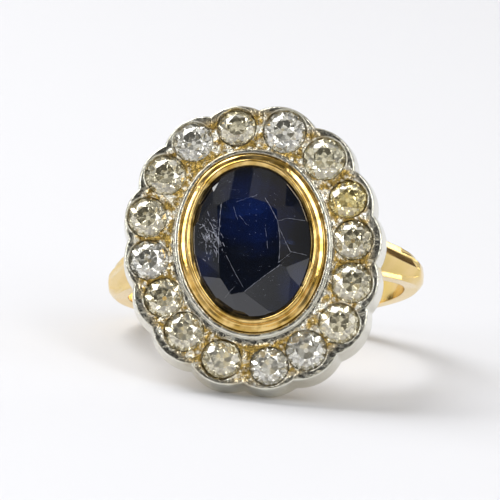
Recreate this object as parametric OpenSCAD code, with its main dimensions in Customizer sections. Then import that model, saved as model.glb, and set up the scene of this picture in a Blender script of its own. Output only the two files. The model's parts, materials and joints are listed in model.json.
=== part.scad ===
// Sapphire and diamond cluster ring, lying on its side. Millimetres, +Z up.
// The ring is drawn upright about its finger hole: X across the hand, Y along the finger and
// Z out through the head. It is then laid down on the edge of its head and the back of its hoop,
// with the head towards -Y. The origin is the middle of the finger hole.

/* [Shank] */
// Radius of the finger hole
hole_r = 8.65; // [8.55:0.05:8.75]
// Thickness of the shank at its edges
band_t = 0.82; // [0.76:0.02:0.9]
// Rise of the shank's rounded outside from its edges to its middle
crown_h = 0.41; // [0.3:0.01:0.44]
// Half of the shank's width at its back
band_half_back = 0.8; // [0.76:0.02:0.84]
// Half of the shank's width at its sides
band_half_side = 0.82; // [0.8:0.02:0.88]
// Half of the shank's width under the head
band_half_head = 1.36; // [1.3:0.02:1.46]
// Angle from the head at which a shoulder leaves the hoop
shoulder_start = 73; // [72:0.5:75]
// Depth of a shoulder's ledges below its ridge where it leaves the hoop
ledge_drop = 0.24; // [0.2:0.01:0.28]
// Slope of the ledges away from the ridge
ledge_slope = 0.13; // [0.1:0.01:0.15]

/* [Head] */
// Height of the underside of the silver frame above the middle of the hole
frame_bottom = 10.1; // [10:0.05:10.2]
// Thickness of the silver frame
frame_t = 1.75; // [1.6:0.05:1.8]
// Half of the width of the oval round which the diamonds are set
ring_a = 6.25; // [6.2:0.01:6.3]
// Half of the length of that oval
ring_b = 7.43; // [7.4:0.01:7.46]
// Turn of that oval in the plane of the head
ring_turn = 9; // [8:0.5:10]
// Shift of that oval along the finger
ring_shift = 0.05; // [0:0.01:0.1]
// Radius of each scallop of the rim
scallop_r = 2.6; // [2.5:0.05:2.8]
// Distance by which the foot of the rim stands out beyond its top
rim_foot = 0.2; // [0.1:0.01:0.22]
// Chamfer on the top edge of the rim
rim_chamfer = 0.06; // [0.04:0.01:0.08]
// Outward tilt of each diamond
stone_lean = 4; // [2:0.5:5]
// Radius of a setting grain
grain_r = 0.19; // [0.16:0.01:0.2]

/* [Collet] */
// Half of the width of the sapphire that shows inside the collet
show_a = 3.56; // [3.5:0.01:3.62]
// Half of the length of the sapphire that shows inside the collet
show_b = 4.62; // [4.56:0.01:4.68]
// Turn of the collet in the plane of the head
oval_turn = 2.5; // [1:0.5:5]
// Shift of the collet along the finger
oval_shift = 0.18; // [0.1:0.02:0.22]
// Width of the rubbed-over edge
lip_w = 0.44; // [0.4:0.01:0.48]
// Outer edge of the flange, from the edge of the stone that shows
flange_w = 0.85; // [0.8:0.01:0.88]
// Height of the flange above the silver frame
flange_h = 0.35; // [0.3:0.01:0.4]
// Height of the rubbed-over edge above the silver frame
lip_h = 1.12; // [1:0.02:1.2]
// Width of the silver ridge round the collet
fence_w = 0.31; // [0.28:0.01:0.34]
// Height of that ridge above the silver frame
fence_h = 0.2; // [0.14:0.01:0.24]

/* [Stones] */
// Height of a diamond's crown as a share of its radius
diamond_crown = 0.34; // [0.3:0.01:0.38]
// Depth of a diamond's pavilion as a share of its radius
diamond_pavilion = 0.86; // [0.8:0.01:0.9]
// Radius of a diamond's table as a share of its radius
diamond_table = 0.52; // [0.46:0.01:0.58]
// Radius of a diamond's culet as a share of its radius
diamond_culet = 0.12; // [0.08:0.01:0.16]
// Height of the sapphire's crown
sapphire_crown = 0.78; // [0.7:0.02:0.84]
// Depth of the sapphire's pavilion
sapphire_pavilion = 2.5; // [2.3:0.05:2.6]

/* [Rest] */
// Lean of the finger hole from upright as the ring lies
rest_lean = 21.48; // [21.0:0.01:22.0]
// Turn of the ring about the line through its head as it lies
rest_turn = 8.88; // [8.4:0.01:9.4]

/* [Hidden] */
$fn = 96;
// Clearance between neighbouring pieces
gap = 0.03;
// Overlap that a cutter or a fused piece runs past a face
past = 0.2;

// The diamonds, one row each, going round from the top of the head towards the right.
// The columns are the place round the oval in degrees from the right, the distance in from or
// out of the oval, the radius, the length over the width, the turn of the facets, and the reach
// of the rim's scallop outside the oval.
STONE_PLACE = 0;
STONE_OUT = 1;
STONE_R = 2;
STONE_LONG = 3;
STONE_TURN = 4;
STONE_REACH = 5;
STONES = [
    [86.5, -0.08, 1.16, 0.92, 90, 1.27],
    [60.0, 0.10, 1.29, 0.98, 31, 1.58],
    [35.5, 0.14, 1.27, 1.00, 4, 1.76],
    [13.0, 0.06, 1.14, 0.97, 18, 1.58],
    [353.5, -0.22, 1.18, 1.00, 40, 1.55],
    [332.5, -0.12, 1.20, 1.00, 12, 1.50],
    [311.5, 0.10, 1.20, 1.00, 27, 1.68],
    [289.0, -0.18, 1.20, 1.00, 35, 1.54],
    [266.5, -0.02, 1.14, 0.98, 90, 1.42],
    [240.0, -0.02, 1.20, 0.92, 90, 1.50],
    [216.0, -0.06, 1.18, 1.00, 15, 1.70],
    [196.5, -0.16, 1.16, 1.00, 38, 1.64],
    [177.0, 0.08, 1.18, 1.00, 29, 1.55],
    [157.0, 0.20, 1.20, 1.00, 2, 1.57],
    [134.5, 0.02, 1.21, 1.00, 20, 1.49],
    [112.0, 0.10, 1.18, 1.00, 42, 1.44]];

edge_r = hole_r + band_t;
ridge_r = edge_r + crown_h;
// Length of a shoulder from where it leaves the hoop, before it is cut off under the head
shoulder_l = 7.6;
frame_top = frame_bottom + frame_t;
// Plane of the diamonds' girdles
girdle_z = frame_top - 0.2;
// Underside of the collet's flange, where it rests on a step in the silver frame
step_z = frame_top - 0.85;
// Width of the collet's tube below the flange
tube_w = 0.62;
// The collet's oval has two end arcs and two side arcs. Each end arc meets each side arc on the
// line through their centres, which runs in this direction.
MEET = [0.8, 0.6];
oval_step = (show_b - show_a) / (MEET[0] + MEET[1] - 1);
oval_end_c = MEET[1] * oval_step;
oval_side_c = MEET[0] * oval_step;
oval_end_r = show_b - oval_end_c;
oval_side_r = show_a + oval_side_c;
// Length of the wedges that part the arcs
wedge_l = 15;
// Plane of the sapphire's girdle, and how far its girdle runs in under the lip
sapphire_z = frame_top + 0.72;
sapphire_under = 0.14;
// The facets of the sapphire's crown that meet its table, and those that break the corners
// between them, round from the right. The columns are the heading, and how far out the
// facet's plane is at the height of the table.
FACET_HEADING = 0;
FACET_OUT = 1;
CROWN = [
    [0, 1.68], [51.3, 2.36], [67.6, 2.41], [92.9, 2.58], [113.2, 2.77],
    [178, 1.96], [189, 2.31], [275.2, 3.11], [302.7, 2.32]];
BREAKS = [
    [14, 2.34], [33, 2.5], [80, 2.9], [101, 3.05], [125, 3.1], [143, 3.0], [163, 2.64],
    [208, 2.8], [229, 3.4], [252, 3.75], [284, 3.32], [315, 2.55], [336, 2.34]];
// Size of the sapphire's culet as a share of its girdle
sapphire_culet = 0.1;
// Wall of the gallery, measured outwards from the collet's oval at its top and its foot
gallery_out_top = 2;
gallery_out_foot = 1.63;
gallery_wall = 0.8;
gallery_foot = 8.85;
// Slope of a diamond's seat
seat_slope = 1;
// Least distance of a grain from the line between the stones beside it
grain_off = 0.5;
// Half of the height of every stone's girdle
girdle_half = 0.025;

function stone_angle(s) = s[STONE_PLACE];
// Middle of a diamond in the plane of the head
function stone_at(s) = [0, ring_shift] + turned([
    (ring_a + s[STONE_OUT]) * cos(stone_angle(s)),
    (ring_b + s[STONE_OUT]) * sin(stone_angle(s))], ring_turn);
function turned(p, a) = [p[0] * cos(a) - p[1] * sin(a), p[0] * sin(a) + p[1] * cos(a)];
// Heading of a diamond, square out from the oval
function facing(s) = ring_turn
    + atan2(sin(stone_angle(s)) / ring_b, cos(stone_angle(s)) / ring_a);

// Point that lies at the distances r1 and r2 from the points p1 and p2, on one side of their
// line, but never nearer to that line than a grain is set
function meeting(p1, r1, p2, r2, side) =
    let (v = p2 - p1, d = norm(v), u = v / d,
         along = (d * d + r1 * r1 - r2 * r2) / (2 * d),
         off = sqrt(max(grain_off * grain_off, r1 * r1 - along * along)))
    p1 + along * u + side * off * [-u[1], u[0]];

// Ring of n points at one height, the first at the angle turn
function loop_points(n, r, z, turn, wide, long) =
    [for (i = [0:n - 1]) let (a = turn + i * 360 / n) [r * wide * cos(a), r * long * sin(a), z]];

// Where two straight lines cross, each given by the heading square to it and its distance
function crossing(h1, d1, h2, d2) =
    [d1 * sin(h2) - d2 * sin(h1), d2 * cos(h1) - d1 * cos(h2)] / sin(h2 - h1);

// How far out a crown facet of the sapphire is at a depth that is 0 at the table and 1 at
// the girdle
function facet_out(f, down) = f[FACET_OUT] * (1 - down) + down * cos(180 / len(BREAKS))
    * norm([(show_a + sapphire_under) * cos(f[FACET_HEADING]),
        (show_b + sapphire_under) * sin(f[FACET_HEADING])]);

// The corners between neighbouring crown facets of the sapphire at one depth
function facet_loop(facets, down) = [
    for (i = [0:len(facets) - 1])
        let (f = facets[i], g = facets[(i + 1) % len(facets)])
            concat(crossing(f[FACET_HEADING], facet_out(f, down),
                g[FACET_HEADING], facet_out(g, down)),
                sapphire_crown * (1 - down) + girdle_half * down)];

// A flat-sided block from loops of corners, the upper loop first
module stacked(loops) {
    n = len(loops[0]);
    last = len(loops) - 1;
    points = [for (l = loops) for (p = l) p];
    faces = concat(
        [[for (i = [n - 1:-1:0]) i]],
        [for (k = [0:last - 1]) for (i = [0:n - 1])
            [k * n + i, k * n + (i + 1) % n, (k + 1) * n + (i + 1) % n, (k + 1) * n + i]],
        [[for (i = [0:n - 1]) last * n + i]]);
    polyhedron(points = points, faces = faces, convexity = 2);
}

// Solid of a brilliant cut with a table, 8 stars, 8 kites, 16 upper girdle facets,
// 16 lower girdle facets, 8 pavilion mains and a culet. Its girdle lies in the plane z = 0.
module brilliant(r, crown, pavilion, table, culet, wide, long) {
    half = cos(22.5);
    star = table + (1 - table) * 0.42;
    lower = 0.42;
    crown_slope = crown / (1 - table);
    pavilion_slope = pavilion / (1 - culet * half);
    points = concat(
        loop_points(8, r * table, crown + girdle_half, 22.5, wide, long),
        loop_points(8, r * star, girdle_half + crown_slope * (1 - star * half), 0, wide, long),
        loop_points(16, r, girdle_half, 0, wide, long),
        loop_points(16, r, -girdle_half, 0, wide, long),
        loop_points(8, r * lower, -girdle_half - pavilion_slope * (1 - lower * half),
            0, wide, long),
        loop_points(8, r * culet, -girdle_half - pavilion, 0, wide, long));
    t = 0;
    s = 8;
    g = 16;
    b = 32;
    m = 48;
    c = 56;
    faces = concat(
        [[for (i = [7:-1:0]) t + i]],
        [for (i = [0:7]) [t + (i + 7) % 8, t + i, s + i]],
        [for (i = [0:7]) [t + i, s + (i + 1) % 8, g + 2 * i + 1, s + i]],
        [for (i = [0:7]) [s + i, g + 2 * i + 1, g + 2 * i]],
        [for (i = [0:7]) [s + i, g + 2 * i, g + (2 * i + 15) % 16]],
        [for (i = [0:15]) [g + i, g + (i + 1) % 16, b + (i + 1) % 16, b + i]],
        [for (i = [0:7]) [m + i, b + 2 * i, b + 2 * i + 1]],
        [for (i = [0:7]) [m + i, b + (2 * i + 15) % 16, b + 2 * i]],
        [for (i = [0:7]) [m + i, b + 2 * i + 1, m + (i + 1) % 8, c + (i + 1) % 8, c + i]],
        [[for (i = [0:7]) c + i]]);
    polyhedron(points = points, faces = faces, convexity = 2);
}

// Lays the upright ring down
module rest() {
    rotate([90 - rest_lean, 0, 0]) rotate([0, 0, rest_turn]) children();
}

// Turns a solid of revolution about Z into one about the finger
module about_finger() {
    rotate([90, 0, 0]) children();
}

// Wedge in which an end arc of the oval lies, with its tip at the arc's centre
module end_wedge() {
    x = MEET[0] * wedge_l;
    y = MEET[1] * wedge_l;
    polygon([[0, 0], [x, y], [0, 2 * y], [-x, y]]);
}

// Wedge in which a side arc of the oval lies, with its tip at the arc's centre
module side_wedge() {
    x = MEET[0] * wedge_l;
    y = MEET[1] * wedge_l;
    polygon([[0, 0], [x, -y], [x, y]]);
}

// Puts something drawn about the collet's middle in its place
module at_collet() {
    translate([0, oval_shift, 0]) rotate([0, 0, oval_turn]) children();
}

// Sweeps a section, given as distance outwards and height, round the collet's oval
module round_oval(low, high) {
    at_collet()
        for (side = [0, 180]) rotate([0, 0, side]) {
            translate([-oval_side_c, 0, 0]) intersection() {
                rotate_extrude() translate([oval_side_r, 0]) children();
                translate([0, 0, low]) linear_extrude(height = high - low) side_wedge();
            }
            translate([0, oval_end_c, 0]) intersection() {
                rotate_extrude() translate([oval_end_r, 0]) children();
                translate([0, 0, low]) linear_extrude(height = high - low) end_wedge();
            }
        }
}

// Filled oval of the collet's shape, grown by out, between two heights
module oval_block(out, low, high) {
    at_collet() translate([0, 0, low]) linear_extrude(height = high - low) {
        for (side = [0, 180]) rotate([0, 0, side]) {
            translate([-oval_side_c, 0]) intersection() {
                circle(r = oval_side_r + out);
                side_wedge();
            }
            translate([0, oval_end_c]) intersection() {
                circle(r = oval_end_r + out);
                end_wedge();
            }
        }
        polygon([[-oval_side_c, 0], [0, -oval_end_c], [oval_side_c, 0], [0, oval_end_c]]);
    }
}

// Places something drawn about a diamond's axis, with z = 0 at its girdle
module at_stone(s) {
    p = stone_at(s);
    translate([p[0], p[1], girdle_z]) rotate([0, 0, facing(s)])
        rotate([0, stone_lean, 0]) children();
}

// Straight-sided outline that narrows the shank from its shoulders to its back
module width_block() {
    reach = 2 * ridge_r + 10;
    top = frame_bottom + past;
    rotate([90, 0, 90]) linear_extrude(height = reach, center = true)
        polygon([[-band_half_back, -ridge_r - past], [band_half_back, -ridge_r - past],
            [band_half_side, 0], [band_half_head, top],
            [-band_half_head, top], [-band_half_side, 0]]);
}

// Outer form of the hoop, a band with a rounded outside
module hoop() {
    wide = 2;
    flat_r = edge_r + 0.9 * crown_h;
    flat_half = 0.42;
    fall_r = edge_r + 0.56 * crown_h;
    fall_half = 0.62;
    about_finger() rotate_extrude($fn = 180)
        polygon([[hole_r - past, -wide], [edge_r, -wide], [edge_r, -band_half_side],
            [fall_r, -fall_half], [flat_r, -flat_half], [ridge_r, 0], [flat_r, flat_half],
            [fall_r, fall_half], [edge_r, band_half_side], [edge_r, wide],
            [hole_r - past, wide]]);
}

// Extrudes across the shank, about the point where a shoulder leaves the hoop, an outline
// given as distance along the shoulder towards the head and height above its ridge
module across_shoulder(outline) {
    wide = 6;
    rotate([0, shoulder_start, 0]) translate([0, 0, ridge_r]) rotate([90, 0, 0])
        linear_extrude(height = wide, center = true)
            polygon([for (p = outline) [-p[0], p[1]]]);
}

// Height of a shoulder's ledges at a distance along it
function ledge_h(s) = -ledge_drop - ledge_slope * s;

// Space above a shoulder's ledges
module above_ledges() {
    back = -1.7;
    top = 3;
    across_shoulder([[back, ledge_h(back)], [shoulder_l, ledge_h(shoulder_l)],
        [shoulder_l, top], [back, top]]);
}

// Body of a shoulder below its ledges, which rises out of the hoop's edges
module ledge_body() {
    back = -0.6;
    near = 1.4;
    back_low = -1.1;
    front_low = -3.4;
    across_shoulder([[back, ledge_h(near)], [near, ledge_h(near)],
        [shoulder_l, ledge_h(shoulder_l)], [shoulder_l, front_low], [back, back_low]]);
}

// Knife edge that stands on a shoulder's ledges. Its three cross-sections lie where it runs out
// on the hoop, where it leaves the hoop, and under the head. Each has its ridge, the feet of
// its sides and the corners of its base.
module knife_edge() {
    places = [-1.3, 0, shoulder_l];
    ridges = [-0.1, 0, 0];
    feet = [0.26, 0.52, 1.1];
    foot_h = [-0.2, ledge_h(0), ledge_h(shoulder_l)];
    sunk = 0.01;
    base = -1.5;
    points = [for (k = [0:2]) let (x = -places[k], y = feet[k], z = foot_h[k] - sunk)
        each [[x, 0, ridges[k]], [x, y, z], [x, y, base], [x, -y, base], [x, -y, z]]];
    faces = concat([[0, 1, 2, 3, 4]],
        [for (k = [0, 5]) for (i = [0:4]) [k + i, k + 5 + (i + 1) % 5, k + (i + 1) % 5]],
        [for (k = [0, 5]) for (i = [0:4]) [k + i, k + 5 + i, k + 5 + (i + 1) % 5]],
        [[14, 13, 12, 11, 10]]);
    rotate([0, shoulder_start, 0]) translate([0, 0, ridge_r])
        polyhedron(points = points, faces = faces, convexity = 2);
}

module shoulder() {
    ledge_body();
    knife_edge();
}

// Oval gold wall that carries the head, wider at its top
module gallery() {
    round_oval(gallery_foot - past, frame_bottom)
        polygon([[gallery_out_foot - gallery_wall, gallery_foot],
            [gallery_out_foot, gallery_foot], [gallery_out_top, frame_bottom - gap],
            [gallery_out_top - gallery_wall, frame_bottom - gap]]);
}

// The space inside the gallery, open to the back of the stones
module gallery_space() {
    middle = (gallery_foot + frame_bottom) / 2;
    widen = (gallery_out_top - gallery_out_foot) / 4;
    inner = gallery_out_foot - gallery_wall / 2;
    oval_block(inner + widen, gallery_foot - past, middle);
    oval_block(inner + 3 * widen, middle - past, frame_bottom + past);
}

module shank() {
    color("goldenrod") rest() difference() {
        union() {
            difference() {
                intersection() {
                    union() {
                        difference() {
                            hoop();
                            above_ledges();
                            mirror([1, 0, 0]) above_ledges();
                        }
                        shoulder();
                        mirror([1, 0, 0]) shoulder();
                    }
                    width_block();
                }
                gallery_space();
            }
            gallery();
        }
        about_finger() cylinder(r = hole_r, h = 4 * hole_r, center = true, $fn = 180);
        translate([-ridge_r, -ridge_r, frame_bottom - gap])
            cube([2 * ridge_r, 2 * ridge_r, ridge_r]);
    }
}

// One scallop of the silver frame, a disc that spreads towards its foot
module scallop(s) {
    out = s[STONE_REACH] - s[STONE_OUT] - scallop_r;
    p = stone_at(s) + out * [cos(facing(s)), sin(facing(s))];
    translate([p[0], p[1], 0]) rotate_extrude()
        polygon([[0, frame_bottom], [scallop_r + rim_foot, frame_bottom],
            [scallop_r, frame_top - rim_chamfer], [scallop_r - rim_chamfer, frame_top],
            [0, frame_top]]);
}

// Drilled seat of one diamond, with a bright-cut edge above and a window below
module seat(s) {
    r = s[STONE_R] + gap;
    flare = 0.07;
    window = 0.5 * r;
    cone_low = -(r - window) * seat_slope - 0.14;
    at_stone(s) rotate_extrude()
        polygon([[0, -frame_t - past], [window, -frame_t - past], [window, cone_low],
            [r, -0.08], [r, 0.08], [r + flare, 0.34], [r + flare, 1], [0, 1]]);
}

// Two grains between a diamond and its neighbour, one inside the ring of stones, one outside
module grains(i) {
    s1 = STONES[i];
    s2 = STONES[(i + 1) % len(STONES)];
    clear = grain_r + 2 * gap;
    for (side = [-1, 1]) {
        p = meeting(stone_at(s1), s1[STONE_R] + clear, stone_at(s2), s2[STONE_R] + clear, side);
        translate([p[0], p[1], 0]) rotate_extrude($fn = 24)
            polygon([[0, frame_bottom + past], [grain_r, frame_bottom + past],
                [grain_r, frame_top], [0.8 * grain_r, frame_top + 0.5 * grain_r],
                [0.4 * grain_r, frame_top + 0.75 * grain_r],
                [0, frame_top + 0.8 * grain_r]]);
    }
}

module cluster_frame() {
    fence_in = flange_w + gap;
    fence_out = fence_in + fence_w;
    top = frame_top + fence_h;
    soft = 0.07;
    color("silver") rest() {
        difference() {
            difference() {
                union() {
                    for (s = STONES) scallop(s);
                    oval_block(fence_out + 0.3, frame_bottom, frame_top);
                    round_oval(frame_bottom, top + past)
                        polygon([[fence_in, frame_bottom + past],
                            [fence_out, frame_bottom + past], [fence_out, top - soft],
                            [fence_out - soft, top], [fence_in + soft, top],
                            [fence_in, top - soft]]);
                }
                oval_block(tube_w + gap, frame_bottom - past, step_z + past);
                oval_block(fence_in, step_z, top + past);
                for (i = [0:2:len(STONES) - 1]) seat(STONES[i]);
            }
            for (i = [1:2:len(STONES) - 1]) seat(STONES[i]);
        }
        for (i = [0:len(STONES) - 1]) grains(i);
    }
}

// Gold tube with a flange that rests on the silver frame and an edge rubbed over the stone
module collet() {
    flange_top = frame_top + flange_h;
    lip_top = frame_top + lip_h;
    under = sapphire_under + 0.08;
    bearing = sapphire_z - 0.07;
    bearing_in = -0.42;
    bearing_low = bearing - 0.52;
    bead = 0.1;
    color("gold") rest() round_oval(frame_bottom, lip_top + past) polygon([
        [bearing_in, bearing_low], [under, bearing], [under, sapphire_z + 0.06],
        [0, sapphire_z + 0.2], [0.04, lip_top - 0.07], [0.14, lip_top],
        [lip_w - 0.14, lip_top], [lip_w - 0.04, lip_top - 0.06], [lip_w, lip_top - 0.16],
        [lip_w, flange_top - bead / 2], [lip_w + bead / 2, flange_top],
        [flange_w - bead, flange_top], [flange_w, flange_top - bead], [flange_w, step_z + gap],
        [tube_w, step_z + gap], [tube_w, frame_bottom + gap], [0, frame_bottom + gap],
        [bearing_in, frame_bottom + 1]]);
}

module sapphire() {
    facets_down = 1 + 2 * sapphire_pavilion / (sapphire_crown - girdle_half);
    color("midnightblue") rest() translate([0, oval_shift, sapphire_z])
        rotate([0, 0, oval_turn]) intersection() {
            stacked([facet_loop(CROWN, 0), facet_loop(CROWN, facets_down)]);
            stacked([
                facet_loop(BREAKS, 0),
                facet_loop(BREAKS, 1),
                [for (p = facet_loop(BREAKS, 1)) [p[0], p[1], -girdle_half]],
                [for (p = facet_loop(BREAKS, 1))
                    [p[0] * sapphire_culet, p[1] * sapphire_culet,
                        -girdle_half - sapphire_pavilion]]]);
        }
}

module diamond(i) {
    s = STONES[i];
    r = s[STONE_R];
    color("aliceblue") rest() at_stone(s) rotate([0, 0, s[STONE_TURN]])
        brilliant(r, diamond_crown * r, diamond_pavilion * r, diamond_table, diamond_culet,
            1, s[STONE_LONG]);
}

shank();
cluster_frame();
collet();
sapphire();
diamond(0);  // diamond_01
diamond(1);  // diamond_02
diamond(2);  // diamond_03
diamond(3);  // diamond_04
diamond(4);  // diamond_05
diamond(5);  // diamond_06
diamond(6);  // diamond_07
diamond(7);  // diamond_08
diamond(8);  // diamond_09
diamond(9);  // diamond_10
diamond(10);  // diamond_11
diamond(11);  // diamond_12
diamond(12);  // diamond_13
diamond(13);  // diamond_14
diamond(14);  // diamond_15
diamond(15);  // diamond_16
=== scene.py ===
import json
import math
import random

import bmesh
import bpy
from bpy.props import FloatProperty, FloatVectorProperty, IntProperty, PointerProperty
from mathutils import Matrix, Vector
from mathutils.bvhtree import BVHTree


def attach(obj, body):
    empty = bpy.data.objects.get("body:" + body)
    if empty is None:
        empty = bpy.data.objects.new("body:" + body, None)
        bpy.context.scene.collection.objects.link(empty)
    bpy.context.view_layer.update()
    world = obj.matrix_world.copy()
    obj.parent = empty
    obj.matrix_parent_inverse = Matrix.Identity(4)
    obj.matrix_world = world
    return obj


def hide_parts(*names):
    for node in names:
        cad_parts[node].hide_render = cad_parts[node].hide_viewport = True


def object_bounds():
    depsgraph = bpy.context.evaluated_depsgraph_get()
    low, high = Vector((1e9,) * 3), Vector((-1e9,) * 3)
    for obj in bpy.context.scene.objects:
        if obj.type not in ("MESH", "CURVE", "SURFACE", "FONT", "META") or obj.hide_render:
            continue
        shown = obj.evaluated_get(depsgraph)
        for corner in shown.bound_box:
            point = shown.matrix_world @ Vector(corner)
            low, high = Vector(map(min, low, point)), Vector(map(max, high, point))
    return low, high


bl_info = {
    "name": "Cluster ring",
    "version": (1, 0, 0),
    "blender": (4, 5, 0),
    "location": "3D View > Sidebar > Ring",
    "description": "Dresses a packed sapphire and diamond ring and sets its stage",
    "category": "Object",
}

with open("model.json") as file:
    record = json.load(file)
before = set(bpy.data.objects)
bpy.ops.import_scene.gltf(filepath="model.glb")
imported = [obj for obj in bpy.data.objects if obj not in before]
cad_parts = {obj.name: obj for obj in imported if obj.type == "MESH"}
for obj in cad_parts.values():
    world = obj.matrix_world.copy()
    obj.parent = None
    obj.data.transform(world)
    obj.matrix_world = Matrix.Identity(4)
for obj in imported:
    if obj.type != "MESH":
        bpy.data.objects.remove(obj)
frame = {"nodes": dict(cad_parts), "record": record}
CAD_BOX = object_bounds()

# Measures

MM = 0.001
# Height of the silver's top on the upright ring, in millimetres
HEAD_TOP = 11.85


def linear_of(code):
    """Linear colour of an sRGB hex value."""
    parts = [int(code[i:i + 2], 16) / 255 for i in (1, 3, 5)]
    return [c / 12.92 if c <= 0.04045 else ((c + 0.055) / 1.055) ** 2.4 for c in parts]


def lying_turn():
    """Turn from the upright ring, drawn about its finger hole, to the ring as it lies."""
    hole = next(m for m in frame["record"]["mounts"] if m["name"] == "finger_hole")
    axis = Vector(hole["axis"])
    turn = math.asin(-axis.x)
    lean = math.atan2(axis.z, axis.y)
    return Matrix.Rotation(lean, 4, "X") @ Matrix.Rotation(turn, 4, "Z")


LAY = lying_turn()
# The sapphire's oval sits a little up from the middle of the head, and is turned on it
OVAL_UP = 0.18 * MM
OVAL_TURN = math.radians(2.5)
OVAL = LAY @ Matrix.Translation((0, OVAL_UP, 0)) @ Matrix.Rotation(OVAL_TURN, 4, "Z")


# Materials

def add(tree, kind, inputs=None, **settings):
    """Adds a node, with its settings, and its inputs as values or as sockets to link."""
    node = tree.nodes.new(kind)
    for key, value in settings.items():
        setattr(node, key, value)
    for key, value in (inputs or {}).items():
        if isinstance(value, bpy.types.NodeSocket):
            tree.links.new(value, node.inputs[key])
        else:
            node.inputs[key].default_value = value
    return node


def new_material(name):
    """Empty material and its node tree."""
    material = bpy.data.materials.new(name)
    material.use_nodes = True
    material.node_tree.nodes.clear()
    return material, material.node_tree


def finish_surface(tree, inputs):
    """Puts a Principled surface with these inputs on the material."""
    shader = add(tree, "ShaderNodeBsdfPrincipled", inputs)
    add(tree, "ShaderNodeOutputMaterial", {"Surface": shader.outputs[0]})


def opaque(colour):
    """Colour with full opacity, as a shader's socket takes it."""
    return (*colour, 1.0)


def ring_coordinates(tree):
    """Coordinates of the upright ring in millimetres."""
    place = add(tree, "ShaderNodeTexCoord").outputs["Object"]
    turned = add(tree, "ShaderNodeMapping", {
        "Vector": place, "Rotation": LAY.inverted().to_euler("XYZ")}).outputs[0]
    return add(tree, "ShaderNodeVectorMath", {0: turned, "Scale": 1 / MM},
               operation="SCALE").outputs[0]


# Patterns of the polished gold, in waves to the millimetre: soft dents about 1.4 mm apart,
# and hairlines drawn 0.14 mm apart, which is coarser than they are, so that they show
DENTS = 0.7
HAIRLINES = 7.0
# Share of the hairlines in the relief, and how much rougher they leave the gold
HAIRLINE_SHARE = 0.012
GOLD_WEAR = 0.12
# Radius of the worn edges, and depth of the relief
GOLD_EDGE = 0.08 * MM
GOLD_RELIEF = 0.08 * MM


def worn_gold(metal):
    """18 carat yellow gold, polished by hand and worn. It gives warm mirror-like sweeps with
    soft dents and hairline scratches that blur the light a little, and painted shade darkens its
    colour along the dents."""
    material, tree = new_material("worn_yellow_gold")
    place = ring_coordinates(tree)
    dents = add(tree, "ShaderNodeTexNoise", {
        "Vector": place, "Scale": DENTS, "Detail": 2.0}).outputs[0]
    hairlines = add(tree, "ShaderNodeTexNoise", {
        "Vector": place, "Scale": HAIRLINES, "Detail": 3.0}).outputs[0]
    rough = add(tree, "ShaderNodeMapRange", {
        "Value": hairlines, "From Min": 0.35, "From Max": 0.7,
        "To Min": metal.gold_rough, "To Max": metal.gold_rough + GOLD_WEAR}).outputs[0]
    height = add(tree, "ShaderNodeMath", {0: hairlines, 1: HAIRLINE_SHARE, 2: dents},
                 operation="MULTIPLY_ADD").outputs[0]
    rounded = add(tree, "ShaderNodeBevel", {"Radius": GOLD_EDGE}, samples=6).outputs[0]
    bump = add(tree, "ShaderNodeBump", {
        "Height": height, "Strength": 0.3, "Distance": GOLD_RELIEF,
        "Normal": rounded}).outputs[0]
    # Painted shade: the gold's colour is made a little darker along the dents' pattern
    painted_shade = add(tree, "ShaderNodeMapRange", {
        "Value": dents, "From Min": 0.35, "From Max": 0.65}).outputs[0]
    colour = add(tree, "ShaderNodeMix", {
        0: painted_shade, 6: opaque(metal.gold), 7: opaque(metal.gold_painted_shade)},
        data_type="RGBA").outputs[2]
    finish_surface(tree, {
        "Base Color": colour, "Metallic": 1.0, "Roughness": rough, "Normal": bump})
    return material


# Patterns of the collet's gold, in waves to the millimetre: the burnisher's strokes, about
# 0.9 mm apart, and hairlines drawn 0.11 mm apart, coarser than they are
STROKES = 1.1
COLLET_HAIRLINES = 9.0
# Share of the hairlines in the relief, and its depth
COLLET_HAIRLINE_SHARE = 0.06
COLLET_RELIEF = 0.16 * MM


def burnished_gold(metal):
    """Yellow gold of the collet, rubbed down over the stone by hand. Its small waves break each
    reflection into bright streaks and brown shadows, and the brown is also painted shade, a
    darker gold painted along the strokes."""
    material, tree = new_material("burnished_yellow_gold")
    place = ring_coordinates(tree)
    strokes = add(tree, "ShaderNodeTexNoise", {
        "Vector": place, "Scale": STROKES, "Detail": 2.5, "Roughness": 0.6}).outputs[0]
    hairlines = add(tree, "ShaderNodeTexNoise", {
        "Vector": place, "Scale": COLLET_HAIRLINES, "Detail": 2.0}).outputs[0]
    height = add(tree, "ShaderNodeMath", {0: hairlines, 1: COLLET_HAIRLINE_SHARE, 2: strokes},
                 operation="MULTIPLY_ADD").outputs[0]
    bump = add(tree, "ShaderNodeBump", {
        "Height": height, "Strength": 0.1, "Distance": COLLET_RELIEF}).outputs[0]
    # Painted shade: a much darker brown gold is painted along the strokes' pattern
    painted_shade = add(tree, "ShaderNodeMapRange", {
        "Value": strokes, "From Min": 0.4, "From Max": 0.62}).outputs[0]
    colour = add(tree, "ShaderNodeMix", {
        0: painted_shade, 6: opaque(metal.collet_gold), 7: opaque(metal.collet_painted_shade)},
        data_type="RGBA").outputs[2]
    finish_surface(tree, {
        "Base Color": colour, "Metallic": 1.0, "Roughness": metal.gold_rough,
        "Normal": bump})
    return material


# Half width and half length of the chiselled field and of the plain ridge inside it, and the
# heights between which the chiselling sets in, all in millimetres
FIELD = (7.3, 8.45)
RIDGE = (4.75, 5.81)
CHISELLED_FROM = 11.1
CHISELLED_FULL = 11.4
# Patterns of the silver, in waves to the millimetre: tarnish in blots about 0.5 mm apart, and
# the chisel's cuts, about 0.4 mm apart
BLOTS = 1.9
CUTS = 2.3
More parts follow.
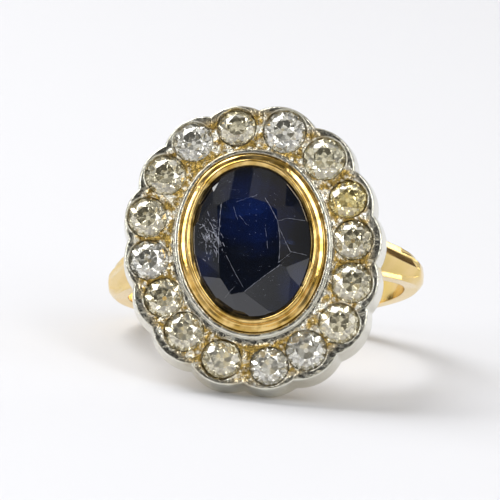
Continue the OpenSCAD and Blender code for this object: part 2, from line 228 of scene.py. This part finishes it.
# Share of the cuts in the relief, its strength low on the sides and on the rubbed top, and
# its depth. Where the silver is chiselled, its strength is full.
CUT_SHARE = 0.8
RUBBED_RELIEF = (0.06, 0.24)
SILVER_RELIEF = 0.16 * MM
# Radius of the rubbed edges
SILVER_EDGE = 0.12 * MM


def old_silver(metal):
    """Silver, cut and polished by hand long ago. Its rim is rubbed bright, and the chiselled
    hollows round the stones sparkle through a golden brown tarnish."""
    material, tree = new_material("old_silver")
    place = ring_coordinates(tree)
    in_field = add(tree, "ShaderNodeVectorMath", {0: place, 1: (1 / FIELD[0], 1 / FIELD[1], 0)},
                   operation="MULTIPLY").outputs[0]
    field_reach = add(tree, "ShaderNodeVectorMath", {0: in_field},
                      operation="LENGTH").outputs[1]
    inside = add(tree, "ShaderNodeMapRange", {
        "Value": field_reach, "From Min": 1.03, "From Max": 0.95}).outputs[0]
    in_ridge = add(tree, "ShaderNodeVectorMath", {0: place, 1: (1 / RIDGE[0], 1 / RIDGE[1], 0)},
                   operation="MULTIPLY").outputs[0]
    ridge_reach = add(tree, "ShaderNodeVectorMath", {0: in_ridge},
                      operation="LENGTH").outputs[1]
    outside = add(tree, "ShaderNodeMapRange", {
        "Value": ridge_reach, "From Min": 1.0, "From Max": 1.05}).outputs[0]
    level = add(tree, "ShaderNodeSeparateXYZ", {0: place}).outputs[2]
    high = add(tree, "ShaderNodeMapRange", {
        "Value": level, "From Min": CHISELLED_FROM, "From Max": CHISELLED_FULL}).outputs[0]
    field = add(tree, "ShaderNodeMath", {0: inside, 1: outside},
                operation="MULTIPLY").outputs[0]
    chiselled = add(tree, "ShaderNodeMath", {0: field, 1: high},
                    operation="MULTIPLY").outputs[0]
    blots = add(tree, "ShaderNodeTexNoise", {
        "Vector": place, "Scale": BLOTS, "Detail": 4.0, "Roughness": 0.6}).outputs[0]
    cuts = add(tree, "ShaderNodeTexVoronoi", {"Vector": place, "Scale": CUTS}).outputs[0]
    brown = add(tree, "ShaderNodeMapRange", {
        "Value": blots, "From Min": 0.38, "From Max": 0.52}).outputs[0]
    stained = add(tree, "ShaderNodeMath", {0: chiselled, 1: brown},
                  operation="MULTIPLY").outputs[0]
    clean = add(tree, "ShaderNodeMix", {
        0: blots, 6: opaque(metal.silver), 7: opaque(metal.silver_grey)},
        data_type="RGBA").outputs[2]
    colour = add(tree, "ShaderNodeMix", {0: stained, 6: clean, 7: opaque(metal.tarnish)},
                 data_type="RGBA").outputs[2]
    rubbed = add(tree, "ShaderNodeMapRange", {
        "Value": high, "To Min": RUBBED_RELIEF[0], "To Max": RUBBED_RELIEF[1]}).outputs[0]
    strength = add(tree, "ShaderNodeMath", {0: chiselled, 1: rubbed},
                   operation="MAXIMUM").outputs[0]
    height = add(tree, "ShaderNodeMath", {0: cuts, 1: CUT_SHARE, 2: blots},
                 operation="MULTIPLY_ADD").outputs[0]
    rounded = add(tree, "ShaderNodeBevel", {"Radius": SILVER_EDGE}, samples=6).outputs[0]
    bump = add(tree, "ShaderNodeBump", {
        "Height": height, "Strength": strength, "Distance": SILVER_RELIEF,
        "Normal": rounded}).outputs[0]
    finish_surface(tree, {
        "Base Color": colour, "Metallic": 1.0, "Roughness": metal.silver_rough,
        "Normal": bump})
    return material


# Blue zones of the sapphire: middle on the head, to the right and up, and reach, all in
# millimetres
ZONES = [(0.2, 1.5, 2.2), (-2.7, -1.3, 1.2), (2.4, -2.5, 1.3)]
# Cloudy growth that makes the zones uneven, in waves to the millimetre: about 1.7 mm apart
GROWTH = 0.6


def deep_sapphire(stones):
    """Blue sapphire, cut and polished, and a little cloudy inside. It is so dark that most of
    its facets look black, with navy where light comes through and grey where a facet mirrors
    the room."""
    material, tree = new_material("deep_blue_sapphire")
    place = ring_coordinates(tree)
    growth = add(tree, "ShaderNodeTexNoise", {
        "Vector": place, "Scale": GROWTH, "Detail": 2.0}).outputs[0]
    near = None
    for x, y, reach in ZONES:
        away = add(tree, "ShaderNodeVectorMath", {0: place, 1: (x, y, HEAD_TOP)},
                   operation="DISTANCE").outputs[1]
        share = add(tree, "ShaderNodeMath", {0: away, 1: reach}, operation="DIVIDE").outputs[0]
        near = share if near is None else add(
            tree, "ShaderNodeMath", {0: near, 1: share}, operation="MINIMUM").outputs[0]
    uneven = add(tree, "ShaderNodeMath", {0: near, 1: growth}, operation="ADD").outputs[0]
    dark = add(tree, "ShaderNodeMapRange", {
        "Value": uneven, "From Min": 0.9, "From Max": 1.8}).outputs[0]
    colour = add(tree, "ShaderNodeMix", {
        0: dark, 6: opaque(stones.sapphire), 7: opaque(stones.sapphire_dark)},
        data_type="RGBA").outputs[2]
    finish_surface(tree, {
        "Base Color": colour, "Roughness": 0.05, "Transmission Weight": 0.6,
        "IOR": stones.sapphire_ior})
    return material


def cut_diamond(tint, stones):
    """Old-cut diamond, worn and a little cloudy. Its facets break the room into grey, white and
    tinted flashes."""
    material, tree = new_material(f"{tint}_old_cut_diamond")
    finish_surface(tree, {
        "Base Color": opaque(getattr(stones, tint)), "Roughness": 0.0,
        "Transmission Weight": 0.92, "IOR": stones.diamond_ior})
    return material


def bright_scratch(stones):
    """Bruised edges and scratches in a polished stone, which scatter the light white."""
    material, tree = new_material("bruised_facet")
    finish_surface(tree, {"Base Color": opaque(stones.scratch), "Roughness": 0.6})
    return material


def pale_card():
    """Matt white card, rolled smooth. It gives the eye an even ground, on which the ring and its
    soft shadow stand out."""
    material, tree = new_material("matt_white_card")
    finish_surface(tree, {"Base Color": opaque(linear_of("#DEDFE4")), "Roughness": 0.9})
    return material


def dark_velvet(code):
    """Dark velvet, which gives a mirror something dark and even to show."""
    material, tree = new_material("dark_velvet")
    finish_surface(tree, {"Base Color": opaque(linear_of(code)), "Roughness": 1.0})
    return material


# Shapes

# Points closer than this are one point
SAME_PLACE = 0.001 * MM
# Edges longer than this are a flat facet's own, and stay sharp past the crisp angle
LONG_EDGE = 1.5 * MM
CRISP = math.radians(15)
# Angles past which a short edge of the shank and the silver, and any edge of the collet,
# stays sharp
SHANK_SHARP = math.radians(36)
SILVER_SHARP = math.radians(28)
COLLET_SHARP = math.radians(50)


def finished_mesh(shape, name):
    """Mesh of a shape that is done with."""
    mesh = bpy.data.meshes.new(name)
    shape.to_mesh(mesh)
    shape.free()
    return mesh


def joined(shape):
    """Joins a shape's double points, and then turns its faces outwards."""
    bmesh.ops.remove_doubles(shape, verts=shape.verts[:], dist=SAME_PLACE)
    bmesh.ops.recalc_face_normals(shape, faces=shape.faces[:])


def merged_copy(node, name, sharp):
    """Copy of a CAD node with its triangles joined and its edges sharp past an angle."""
    shape = bmesh.new()
    shape.from_mesh(frame["nodes"][node].data)
    joined(shape)
    for edge in shape.edges:
        if len(edge.link_faces) == 2:
            limit = CRISP if edge.calc_length() > LONG_EDGE else sharp
            edge.smooth = edge.calc_face_angle(0) < limit
    return finished_mesh(shape, name)


def new_piece(mesh, material):
    """Links a finished mesh as a piece of the ring."""
    for poly in mesh.polygons:
        poly.use_smooth = True
    mesh.materials.append(material)
    piece = bpy.data.objects.new(mesh.name, mesh)
    bpy.context.scene.collection.objects.link(piece)
    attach(piece, "root")
    return piece


def metal_piece(mesh, material, node):
    """Piece of metal in place of a CAD node. Broad faces rule its shading where faces meet
    softly."""
    piece = new_piece(mesh, material)
    piece.modifiers.new("even_normals", "WEIGHTED_NORMAL").keep_sharp = True
    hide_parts(node)


def dress_stone(node, material):
    """Gives a CAD stone its material."""
    slots = frame["nodes"][node].data.materials
    slots.clear()
    slots.append(material)


# Settings

class RingMetal(bpy.types.PropertyGroup):
    """Colours and polish of the gold and the silver"""
    gold: FloatVectorProperty(
        name="Gold", description="Colour of the polished gold", subtype="COLOR",
        default=linear_of("#EECE84"), min=0, max=1)
    # Painted shade: a darker gold painted onto the shank along its dents
    gold_painted_shade: FloatVectorProperty(
        name="Deep gold", description="Colour of the gold in its dents", subtype="COLOR",
        default=linear_of("#E8C974"), min=0, max=1)
    collet_gold: FloatVectorProperty(
        name="Collet gold", description="Colour of the collet's gold", subtype="COLOR",
        default=linear_of("#EDCC86"), min=0, max=1)
    # Painted shade: a brown gold painted onto the collet along the burnisher's strokes
    collet_painted_shade: FloatVectorProperty(
        name="Deep collet gold", description="Colour of the collet's gold in its dents",
        subtype="COLOR", default=linear_of("#BC9748"), min=0, max=1)
    gold_rough: FloatProperty(
        name="Gold roughness", description="Roughness of the best polished gold",
        default=0.1, min=0, max=1)
    silver: FloatVectorProperty(
        name="Silver", description="Colour of the rubbed silver", subtype="COLOR",
        default=linear_of("#F5F3E8"), min=0, max=1)
    silver_grey: FloatVectorProperty(
        name="Grey silver", description="Colour of the duller silver", subtype="COLOR",
        default=linear_of("#D6D4C6"), min=0, max=1)
    tarnish: FloatVectorProperty(
        name="Tarnish", description="Colour of the tarnish round the stones", subtype="COLOR",
        default=linear_of("#A08648"), min=0, max=1)
    silver_rough: FloatProperty(
        name="Silver roughness", description="Roughness of the silver",
        default=0.15, min=0, max=1)


class RingStones(bpy.types.PropertyGroup):
    """Colours and refraction of the stones, and the sapphire's wear"""
    sapphire: FloatVectorProperty(
        name="Sapphire", description="Colour of the sapphire's bluest zone", subtype="COLOR",
        default=linear_of("#102868"), min=0, max=1)
    sapphire_dark: FloatVectorProperty(
        name="Dark sapphire", description="Colour of the sapphire's darkest zone",
        subtype="COLOR", default=linear_of("#141A28"), min=0, max=1)
    sapphire_ior: FloatProperty(
        name="Sapphire refraction", description="Refractive index of the sapphire",
        default=1.77, min=1, max=3)
    white: FloatVectorProperty(
        name="White diamonds", description="Tint of the whitest diamonds", subtype="COLOR",
        default=linear_of("#F6F4E8"), min=0, max=1)
    warm: FloatVectorProperty(
        name="Warm diamonds", description="Tint of the faintly yellow diamonds",
        subtype="COLOR", default=linear_of("#F1E9CA"), min=0, max=1)
    straw: FloatVectorProperty(
        name="Straw diamond", description="Tint of the straw-coloured diamond",
        subtype="COLOR", default=linear_of("#FAF4D6"), min=0, max=1)
    yellow: FloatVectorProperty(
        name="Yellow diamond", description="Tint of the yellow diamond", subtype="COLOR",
        default=linear_of("#FAE9A6"), min=0, max=1)
    diamond_ior: FloatProperty(
        name="Diamond refraction", description="Refractive index of the diamonds",
        default=2.417, min=1, max=3)
    scratch: FloatVectorProperty(
        name="Scratches", description="Colour of the sapphire's scratches", subtype="COLOR",
        default=linear_of("#B4B8C6"), min=0, max=1)
    seed: IntProperty(
        name="Seed", description="Seed of the sapphire's scratches and specks",
        default=7, min=0)


class RingView(bpy.types.PropertyGroup):
    """Place and lens of the camera"""
    azimuth: FloatProperty(
        name="Azimuth", description="Camera's angle to the right of the head's front",
        subtype="ANGLE", default=math.radians(3.58))
    elevation: FloatProperty(
        name="Elevation", description="Camera's angle above the hoop's plane",
        subtype="ANGLE", default=math.radians(-10.1))
    roll: FloatProperty(
        name="Roll", description="Turn of the ring in the picture", subtype="ANGLE",
        default=math.radians(1.57))
    distance: FloatProperty(
        name="Distance", description="Distance from the camera to the middle of the hole",
        unit="LENGTH", default=0.312, min=0.1)
    lens: FloatProperty(
        name="Lens", description="Focal length in millimetres", default=358.9, min=1)


# Pieces

class RING_OT_shank(bpy.types.Operator):
    """Dress the gold shank"""
    bl_idname = "ring.shank"
    bl_label = "Shank"

    def execute(self, context):
        metal_piece(merged_copy("shank", "shank_gold", SHANK_SHARP),
                    worn_gold(context.scene.ring_metal), "shank")
        return {"FINISHED"}


class RING_OT_cluster(bpy.types.Operator):
    """Dress the silver frame of the cluster"""
    bl_idname = "ring.cluster"
    bl_label = "Silver frame"

    def execute(self, context):
        metal_piece(merged_copy("cluster_frame", "cluster_silver", SILVER_SHARP),
                    old_silver(context.scene.ring_metal), "cluster_frame")
        return {"FINISHED"}


# Half width and half length of the collet's opening, in millimetres
OPEN_WIDE = 3.56
OPEN_LONG = 4.62
# The collet's outline is four arcs, which meet at this heading, on a line with this cosine
# and sine. The centres of the end arcs and of the side arcs follow from the opening.
MEET_COS = 0.8
MEET_SIN = 0.6
MEET = math.atan2(MEET_SIN, MEET_COS)
OVAL_STEP = (OPEN_LONG - OPEN_WIDE) / (MEET_COS + MEET_SIN - 1)
END_CENTRE = MEET_SIN * OVAL_STEP
SIDE_CENTRE = MEET_COS * OVAL_STEP
# Each arc's centre, in millimetres, and its sweep
COLLET_ARCS = [
    ((0, END_CENTRE), math.pi - 2 * MEET), ((SIDE_CENTRE, 0), 2 * MEET),
    ((0, -END_CENTRE), math.pi - 2 * MEET), ((-SIDE_CENTRE, 0), 2 * MEET)]
# One step of the spin, in degrees
SPIN_STEP = 3
# The collet's section: distance out from the opening and height over the silver, in
# millimetres, round from the stone's bearing over the lip and the flange to the tube's foot
COLLET_PROFILE = [
    (-0.42, 0.13), (0.22, 0.65), (0.22, 0.78), (0.03, 0.78), (-0.01, 0.8), (-0.005, 0.83),
    (0.06, 0.89), (0.14, 0.96), (0.19, 1.01), (0.235, 1.035), (0.28, 1.035), (0.33, 1.01),
    (0.375, 0.97), (0.41, 0.9), (0.43, 0.79), (0.435, 0.6), (0.44, 0.45), (0.455, 0.385),
    (0.49, 0.352), (0.54, 0.338), (0.66, 0.304), (0.77, 0.27), (0.81, 0.24), (0.84, 0.19),
    (0.85, 0.12), (0.85, -0.82), (0.62, -0.82), (0.62, -1.72), (0.0, -1.72), (-0.42, -0.75)]


def first_section(out, high):
    """Place in metres of a point of the collet's section where its first arc starts."""
    reach = OPEN_LONG - END_CENTRE + out
    return Vector((math.cos(MEET) * reach, END_CENTRE + math.sin(MEET) * reach,
                   HEAD_TOP + high)) * MM


class RING_OT_collet(bpy.types.Operator):
    """Dress the gold collet"""
    bl_idname = "ring.collet"
    bl_label = "Collet"

    def execute(self, context):
        shape = bmesh.new()
        verts = [bmesh.ops.create_vert(shape, co=first_section(*point))["vert"][0]
                 for point in COLLET_PROFILE]
        edges = [shape.edges.new(pair) for pair in zip(verts, verts[1:] + verts[:1])]
        section = verts + edges
        for centre, sweep in COLLET_ARCS:
            section = bmesh.ops.spin(
                shape, geom=section, cent=Vector((*centre, 0)) * MM, axis=(0, 0, 1),
                angle=sweep, steps=round(math.degrees(sweep) / SPIN_STEP))["geom_last"]
        joined(shape)
        for edge in shape.edges:
            edge.smooth = edge.calc_face_angle(0) < COLLET_SHARP
        shape.transform(OVAL)
        metal_piece(finished_mesh(shape, "collet_gold"),
                    burnished_gold(context.scene.ring_metal), "collet")
        return {"FINISHED"}


# Tint of each diamond, clockwise from the top of the head
TINTS = ["warm", "white", "straw", "yellow", "warm", "warm", "warm", "white",
         "white", "warm", "warm", "warm", "white", "warm", "warm", "white"]


class RING_OT_stones(bpy.types.Operator):
    """Give the sapphire and the diamonds their colours"""
    bl_idname = "ring.stones"
    bl_label = "Stones"

    def execute(self, context):
        stones = context.scene.ring_stones
        dress_stone("sapphire", deep_sapphire(stones))
        finishes = {tint: cut_diamond(tint, stones) for tint in sorted(set(TINTS))}
        diamonds = sorted(name for name in frame["nodes"] if name.startswith("diamond"))
        for name, tint in zip(diamonds, TINTS, strict=True):
            dress_stone(name, finishes[tint])
        return {"FINISHED"}


# Scratches: width, and places on the head to the right and up from the middle of the stone,
# all in millimetres
SCRATCHES = [
    (0.022, [(-1.62, 2.34), (-1.80, 1.26), (-1.92, 0.36), (-1.98, -0.54), (-2.04, -1.26)]),
    (0.020, [(-2.88, 1.26), (-2.70, 0.96), (-2.58, 0.66)]),
    (0.020, [(-2.52, 1.50), (-2.40, 1.20), (-2.22, 0.90)]),
    (0.019, [(-2.76, 0.90), (-2.46, 0.78), (-2.16, 0.54)]),
    (0.022, [(-2.40, 1.26), (-2.16, 0.66), (-1.92, 0.06)]),
    (0.018, [(-3.06, 1.02), (-2.70, 1.14)]),
    (0.023, [(-2.22, 0.66), (-2.04, 0.18), (-1.92, -0.24)]),
    (0.016, [(-2.94, 0.66), (-2.64, 0.30), (-2.76, -0.06)]),
    (0.018, [(-2.40, 0.18), (-2.10, -0.42), (-2.16, -0.90)]),
    (0.016, [(-3.24, 1.38), (-2.94, 1.20)]),
    (0.011, [(-1.56, -0.84), (-1.14, -1.86), (-0.66, -2.88)]),
    (0.020, [(1.02, 2.46), (1.32, 1.86), (1.68, 0.96), (1.74, 0.06), (1.68, -0.84),
             (1.56, -1.56)]),
    (0.014, [(1.68, 0.96), (2.28, 1.14), (3.30, 0.96)]),
    (0.012, [(1.74, 0.54), (2.28, -0.90), (3.24, -1.14)]),
    (0.011, [(2.04, -0.30), (2.34, -0.96), (1.56, -1.56)]),
    (0.015, [(1.68, -1.68), (0.60, -2.34), (-0.66, -3.18)]),
    (0.012, [(0.90, 0.60), (0.96, 0.06)]),
    (0.009, [(0.96, -0.18), (0.96, -0.66)]),
    (0.008, [(-0.90, 2.04), (-0.72, 1.26)]),
    (0.007, [(-0.60, 1.50), (-0.18, 0.90)]),
    (0.008, [(0.54, 2.64), (0.00, 2.52), (-0.72, 2.34)]),
    (0.010, [(-1.80, -3.36), (-1.20, -2.82)]),
]
# A scratch's points lie about one step apart and shake by this much, in millimetres, and its
# half width varies between these shares of its width
SCRATCH_STEP = 0.08
SCRATCH_SHAKE = 0.008
SCRATCH_SHARE = (0.1, 0.6)
# The rubbed patch at the left: number and width of its scratches, middle and spread of where
# they start, their slant in radians with its spread, and their least and greatest length.
# Lengths are in millimetres.
RUB_COUNT = 60
RUB_WIDTH = 0.018
RUB_MIDDLE = (-2.35, 0.35)
RUB_SPREAD = (0.28, 0.65)
RUB_SLANT = (1.2, 0.7)
RUB_LENGTH = (0.1, 0.4)
# Specks: number, and the middle and the half size in millimetres of their patch
SPECKS = [(150, 0.0, 0.2, 2.9, 4.0), (90, -2.5, 0.5, 0.75, 1.2)]
# Least and greatest radius of a speck, in millimetres, and its corners
SPECK_RADIUS = (0.005, 0.015)
SPECK_CORNERS = 5
# Gap between a facet and what lies on it, and height over the silver's top from which a
# place on the stone is looked for, in millimetres
GAP = 0.003
LOOK_DOWN = 4


def on_stone(stone, x, y):
    """Place just over the sapphire at a point of the head, and the facet's normal there."""
    start = OVAL @ (Vector((x, y, HEAD_TOP + LOOK_DOWN)) * MM)
    place, normal, _, _ = stone.ray_cast(start, OVAL.to_3x3() @ Vector((0, 0, -1)))
    if place is None:
        raise RuntimeError(f"no facet of the sapphire lies under {x}, {y}")
    return place + normal * GAP * MM, normal


def add_scratch(shape, stone, luck, width, places):
    """Lays a thin, shaky ribbon on the stone along a run of places."""
    run = []
    for (x0, y0), (x1, y1) in zip(places, places[1:]):
        steps = max(2, round(math.hypot(x1 - x0, y1 - y0) / SCRATCH_STEP))
        run += [(x0 + (x1 - x0) * i / steps + luck.gauss(0, SCRATCH_SHAKE),
                 y0 + (y1 - y0) * i / steps + luck.gauss(0, SCRATCH_SHAKE))
                for i in range(steps)]
    run.append(places[-1])
    rims = []
    for before, here, after in zip([run[0], *run], run, [*run[1:], run[-1]]):
        ahead = Vector((after[0] - before[0], after[1] - before[1], 0)).normalized()
        side = Vector((-ahead.y, ahead.x, 0)) * width * luck.uniform(*SCRATCH_SHARE)
        rims.append([on_stone(stone, here[0] + s * side.x, here[1] + s * side.y)[0]
                     for s in (1, -1)])
    verts = [bmesh.ops.create_vert(shape, co=co)["vert"][0] for co in rims[0]]
    edge = shape.edges.new(verts)
    for pair in rims[1:]:
        grown = bmesh.ops.extrude_edge_only(shape, edges=[edge])["geom"]
        edge = next(g for g in grown if isinstance(g, bmesh.types.BMEdge))
        near = min(edge.verts, key=lambda v: (v.co - pair[0]).length)
        near.co, edge.other_vert(near).co = pair


def add_speck(shape, stone, luck, x, y, wide, long):
    """Lays a speck on the stone somewhere in an oval patch."""
    heading, reach = luck.uniform(0, math.tau), math.sqrt(luck.random())
    place, normal = on_stone(stone, x + wide * reach * math.cos(heading),
                             y + long * reach * math.sin(heading))
    turn = normal.to_track_quat("Z", "Y").to_matrix().to_4x4()
    bmesh.ops.create_circle(
        shape, cap_ends=True, segments=SPECK_CORNERS, radius=luck.uniform(*SPECK_RADIUS) * MM,
        matrix=Matrix.Translation(place) @ turn)


class RING_OT_scratches(bpy.types.Operator):
    """Scratch and fleck the sapphire"""
    bl_idname = "ring.scratches"
    bl_label = "Scratches"

    def execute(self, context):
        stones = context.scene.ring_stones
        luck = random.Random(stones.seed)
        solid = bmesh.new()
        solid.from_mesh(frame["nodes"]["sapphire"].data)
        stone = BVHTree.FromBMesh(solid)
        solid.free()
        shape = bmesh.new()
        for width, places in SCRATCHES:
            add_scratch(shape, stone, luck, width, places)
        for _ in range(RUB_COUNT):
            x, y = map(luck.gauss, RUB_MIDDLE, RUB_SPREAD)
            slant, length = luck.gauss(*RUB_SLANT), luck.uniform(*RUB_LENGTH)
            add_scratch(shape, stone, luck, RUB_WIDTH, [
                (x, y), (x + length * math.cos(slant), y - length * math.sin(slant))])
        for count, *patch in SPECKS:
            for _ in range(count):
                add_speck(shape, stone, luck, *patch)
        new_piece(finished_mesh(shape, "sapphire_scratches"),
                  bright_scratch(stones))
        return {"FINISHED"}


# Stage

# Width of the square floor, in metres
FLOOR_WIDE = 3
# Lights: name, azimuth and elevation in degrees, distance, width and height in metres, and
# power in watts
SOFTBOXES = [
    ("key", -104, 54, 0.6, 0.4, 0.4, 3.1),
    ("fill", 75, 25, 0.7, 0.3, 0.25, 0.35),
    ("top", 180, 72, 0.6, 0.4, 0.2, 0.3),
    ("left_strip", -42, 27, 0.55, 0.12, 0.22, 0.5),
    ("right_strip", 32, 42, 0.55, 0.12, 0.36, 0.65),
    ("edge", 130, 6, 0.6, 0.16, 0.1, 0.16),
]
# Dark cards that only mirrors see: name, azimuth and elevation in degrees, distance, width
# and height in metres, and colour
FLAGS = [
    ("front_flag", -2, 34, 0.5, 0.24, 0.15, "#0A0A0B"),
    ("back_flag", 182, 9.5, 0.5, 0.65, 0.19, "#5E5040"),
    ("left_flag", -75, 8, 0.5, 0.2, 0.14, "#0A0A0B"),
    ("right_flag", 80, 8, 0.5, 0.16, 0.14, "#0A0A0B"),
]


def facing(azimuth, elevation, distance):
    """Turn and place of a light or a card that faces the ring, seen from it at an angle to
    the right of its front and above the floor."""
    a, e = math.radians(azimuth), math.radians(elevation)
    place = Vector((math.sin(a) * math.cos(e), -math.cos(a) * math.cos(e),
                    math.sin(e))) * distance
    return Matrix.Translation(place) @ (-place).to_track_quat("-Z", "Y").to_matrix().to_4x4()


def add_card(name, width, height, place, material):
    """Flat card of the stage."""
    shape = bmesh.new()
    bmesh.ops.create_grid(shape, x_segments=1, y_segments=1, size=0.5)
    bmesh.ops.scale(shape, vec=(width, height, 1), verts=shape.verts[:])
    shape.transform(place)
    mesh = finished_mesh(shape, name)
    mesh.materials.append(material)
    card = bpy.data.objects.new(name, mesh)
    bpy.context.scene.collection.objects.link(card)
    return card


def add_softbox(name, width, height, place, power):
    """Soft rectangular light."""
    lamp = bpy.data.lights.new(name, "AREA")
    lamp.shape = "RECTANGLE"
    lamp.size = width
    lamp.size_y = height
    lamp.energy = power
    light = bpy.data.objects.new(name, lamp)
    light.matrix_world = place
    bpy.context.scene.collection.objects.link(light)


# The room round the ring: how fine its light and dark patches and its warm patches are, the
# brightness of both ends, and how dim the ceiling is
ROOM_PATCHES = 3.6
WARM_PATCHES = 4.0
ROOM_DARK = 0.14
ROOM_BRIGHT = 1.02
CEILING = 0.35


def white_room():
    """Room of light and dark patches, some of them warm, for the facets and the polished
    metal to mirror, and with a dimmer ceiling over the stones' flat tops."""
    world = bpy.data.worlds.new("white_room")
    world.use_nodes = True
    tree = world.node_tree
    tree.nodes.clear()
    direction = add(tree, "ShaderNodeTexCoord").outputs["Generated"]
    patches = add(tree, "ShaderNodeTexNoise", {
        "Vector": direction, "Scale": ROOM_PATCHES, "Detail": 4.0,
        "Roughness": 0.75}).outputs[0]
    walls = add(tree, "ShaderNodeMapRange", {
        "Value": patches, "From Min": 0.44, "From Max": 0.57,
        "To Min": ROOM_DARK, "To Max": ROOM_BRIGHT}).outputs[0]
    rise = add(tree, "ShaderNodeSeparateXYZ", {0: direction}).outputs[2]
    ceiling = add(tree, "ShaderNodeMapRange", {
        "Value": rise, "From Min": 0.7, "From Max": 0.86,
        "To Min": 1.0, "To Max": CEILING}).outputs[0]
    strength = add(tree, "ShaderNodeMath", {0: walls, 1: ceiling},
                   operation="MULTIPLY").outputs[0]
    warmth = add(tree, "ShaderNodeTexNoise", {
        "Vector": direction, "Scale": WARM_PATCHES, "Detail": 1.0}).outputs[0]
    warm = add(tree, "ShaderNodeMapRange", {
        "Value": warmth, "From Min": 0.5, "From Max": 0.6}).outputs[0]
    colour = add(tree, "ShaderNodeMix", {
        0: warm, 6: opaque(linear_of("#FFFFFF")), 7: opaque(linear_of("#F4E8CC"))},
        data_type="RGBA").outputs[2]
    sky = add(tree, "ShaderNodeBackground", {"Color": colour, "Strength": strength})
    add(tree, "ShaderNodeOutputWorld", {"Surface": sky.outputs[0]})
    return world


# Side of the picture, and where the middle of the finger hole lies in it, in pixels
PICTURE = 500
HOLE_PIXEL = (265.93, 280.62)
# Width of the camera's sensor in millimetres, and the nearest that it sees, in metres
SENSOR = 36.0
NEAREST = 0.01


def add_camera(view):
    """Camera at the photo's angle to the ring, aimed so that the middle of the finger hole
    falls on its place in the picture."""
    scene = bpy.context.scene
    out = Vector((math.sin(view.azimuth) * math.cos(view.elevation), math.sin(view.elevation),
                  math.cos(view.azimuth) * math.cos(view.elevation)))
    up = (Vector((0, 1, 0)) - out * out.y).normalized()
    right = up.cross(out)
    side = math.cos(view.roll) * right - math.sin(view.roll) * up
    top = math.sin(view.roll) * right + math.cos(view.roll) * up
    focal = view.lens / SENSOR * PICTURE
    half = PICTURE / 2
    aim = (-out * focal + side * (half - HOLE_PIXEL[0])
           + top * (HOLE_PIXEL[1] - half)).normalized()
    side = aim.cross(top).normalized()
    top = side.cross(aim)
    turn = Matrix((side, top, -aim)).transposed().to_4x4()
    data = bpy.data.cameras.new("camera")
    data.lens = view.lens
    data.sensor_width = SENSOR
    data.clip_start = NEAREST
    camera = bpy.data.objects.new("camera", data)
    camera.matrix_world = Matrix.Translation(LAY @ (out * view.distance)) @ LAY @ turn
    scene.collection.objects.link(camera)
    scene.camera = camera
    scene.view_settings.view_transform = "Standard"


class RING_OT_stage(bpy.types.Operator):
    """Set the floor, the room, the lights, the dark cards and the camera"""
    bl_idname = "ring.stage"
    bl_label = "Stage"

    def execute(self, context):
        scene = context.scene
        add_card("floor", FLOOR_WIDE, FLOOR_WIDE, Matrix.Translation((0, 0, CAD_BOX[0][2])),
                 pale_card())
        scene.world = white_room()
        for name, azimuth, elevation, distance, width, height, power in SOFTBOXES:
            add_softbox(name, width, height, facing(azimuth, elevation, distance), power)
        for name, azimuth, elevation, distance, width, height, code in FLAGS:
            flag = add_card(name, width, height, facing(azimuth, elevation, distance),
                            dark_velvet(code))
            flag.visible_camera = False
            flag.visible_diffuse = False
            flag.visible_shadow = False
            flag.visible_transmission = False
        add_camera(scene.ring_view)
        return {"FINISHED"}


# Panel and registration

GROUPS = {"ring_metal": RingMetal, "ring_stones": RingStones, "ring_view": RingView}
OPERATORS = (RING_OT_shank, RING_OT_cluster, RING_OT_collet, RING_OT_stones,
             RING_OT_scratches, RING_OT_stage)


class RING_PT_panel(bpy.types.Panel):
    """Lists the ring's pieces and settings"""
    bl_idname = "RING_PT_panel"
    bl_label = "Cluster ring"
    bl_space_type = "VIEW_3D"
    bl_region_type = "UI"
    bl_category = "Ring"

    def draw(self, context):
        for operator in OPERATORS:
            self.layout.operator(operator.bl_idname)
        for name, group in GROUPS.items():
            for key in group.__annotations__:
                self.layout.prop(getattr(context.scene, name), key)


CLASSES = (*GROUPS.values(), *OPERATORS, RING_PT_panel)


def register():
    for kind in CLASSES:
        bpy.utils.register_class(kind)
    for name, group in GROUPS.items():
        setattr(bpy.types.Scene, name, PointerProperty(type=group))


def unregister():
    for name in GROUPS:
        delattr(bpy.types.Scene, name)
    for kind in reversed(CLASSES):
        bpy.utils.unregister_class(kind)


def main():
    register()
    bpy.ops.ring.shank()
    bpy.ops.ring.cluster()
    bpy.ops.ring.collet()
    bpy.ops.ring.stones()
    bpy.ops.ring.scratches()
    bpy.ops.ring.stage()


if __name__ == "__main__":
    main()
